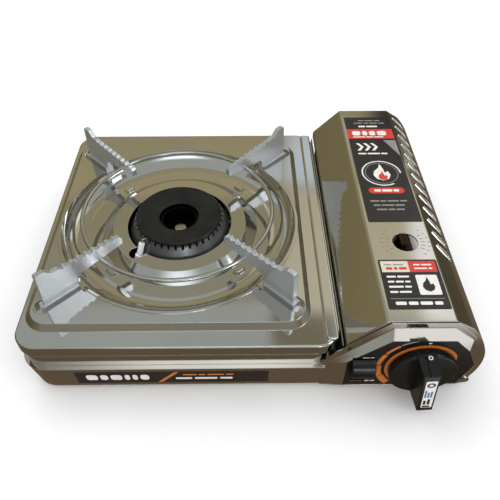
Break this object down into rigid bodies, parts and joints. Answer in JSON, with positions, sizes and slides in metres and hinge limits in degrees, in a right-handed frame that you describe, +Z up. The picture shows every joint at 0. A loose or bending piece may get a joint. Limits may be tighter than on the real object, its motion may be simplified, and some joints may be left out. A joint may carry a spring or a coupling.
{
  "type": "portable gas stove",
  "caption": "Portable butane cassette stove: round drip dish with a raised pan support beside a hinged cartridge bay with a control knob and a lock lever.",
  "frame": {"origin": "on the table under the feet, at the middle of the stove's overall outline, knob included", "axes": "+X to the right across the stove, towards the cartridge bay; -Y towards the user and the knob; +Z up"},
  "size_m": [0.362, 0.304, 0.0972],
  "materials": {
    "polished_steel": "mirror polished stainless steel",
    "pressed_steel": "plain pressed steel",
    "arm_enamel": "satin light grey heat-resistant coat on cast arms",
    "cap_enamel": "satin black enamel",
    "cast_aluminium": "as cast and turned",
    "ceramic": "white glazed ceramic",
    "wire_steel": "plain",
    "black_plastic": "fine satin black",
    "brass": "turned",
    "rubber": "matt",
    "lead_cover": "red silicone"
  },
  "bodies": {
    "body": {"bay_partition": "pressed_steel", "body_shell": "polished_steel", "burner_body": "cast_aluminium", "burner_bracket": "pressed_steel", "burner_cap": "cap_enamel", "burner_screw": "wire_steel", "cartridge_cradle": "pressed_steel", "control_panel": "black_plastic", "electrode_clip": "pressed_steel", "electrode_insulator": "ceramic", "electrode_wire": "wire_steel", "gas_pipe": "brass", "guide_ring": "pressed_steel", "hinge_pins": "wire_steel", "ignition_lead": "lead_cover", "injector_nozzle": "brass", "lever_bracket": "pressed_steel", "lever_pivot_pin": "wire_steel", "mixing_tube": "cast_aluminium", "piezo_clip": "pressed_steel", "piezo_igniter": "black_plastic", "rear_frame": "pressed_steel", "regulator_body": "cast_aluminium", "regulator_bracket": "pressed_steel", "regulator_cap": "cast_aluminium", "regulator_screws": "wire_steel", "rubber_feet": "rubber", "socket_seal": "rubber", "tube_saddle": "pressed_steel"},
    "cover": {"cartridge_cover": "polished_steel"},
    "knob": {"knob": "black_plastic", "valve_spindle": "brass", "ignition_cam": "black_plastic"},
    "plunger": {"piezo_plunger": "black_plastic"},
    "lever": {"lock_lever": "black_plastic", "lever_arm": "pressed_steel", "lever_drive_pin": "wire_steel"},
    "carriage": {"cartridge_carriage": "pressed_steel"},
    "plate": {"top_plate": "polished_steel"},
    "pan_support": {"pan_arm_back_right": "arm_enamel", "pan_arm_back_left": "arm_enamel", "pan_arm_front_left": "arm_enamel", "pan_arm_front_right": "arm_enamel", "support_ring": "wire_steel"}
  },
  "joints": [
    {"name": "cover_hinge", "type": "hinge", "parent": "body", "child": "cover", "pos_m": [0.171, 0.0135, 0.016], "axis": [0, 1, 0], "range_deg": [0, 95]},
    {"name": "knob_turn", "type": "hinge", "parent": "body", "child": "knob", "pos_m": [0.132, -0.13, 0.035], "axis": [0, -1, 0], "range_deg": [0, 120]},
    {"name": "piezo_press", "type": "slide", "parent": "body", "child": "plunger", "axis": [0, 0, 1], "range_m": [0, 0.0041]},
    {"name": "lock_lever_turn", "type": "hinge", "parent": "body", "child": "lever", "pos_m": [0.086, -0.108, 0.019], "axis": [1, 0, 0], "range_deg": [0, 35]},
    {"name": "carriage_slide", "type": "slide", "parent": "body", "child": "carriage", "axis": [0, -1, 0], "range_m": [0, 0.008]},
    {"name": "top_plate_lift", "type": "slide", "parent": "body", "child": "plate", "axis": [0, 0, 1], "range_m": [0, 0.06]},
    {"name": "pan_support_lift", "type": "slide", "parent": "plate", "child": "pan_support", "axis": [0, 0, 1], "range_m": [0, 0.05]}
  ],
  "couplings": [
    {"joint": "piezo_press", "follows": "knob_turn", "m_per_rad": 0.00191},
    {"joint": "lock_lever_turn", "follows": "carriage_slide", "rad_per_m": 76.3}
  ]
}
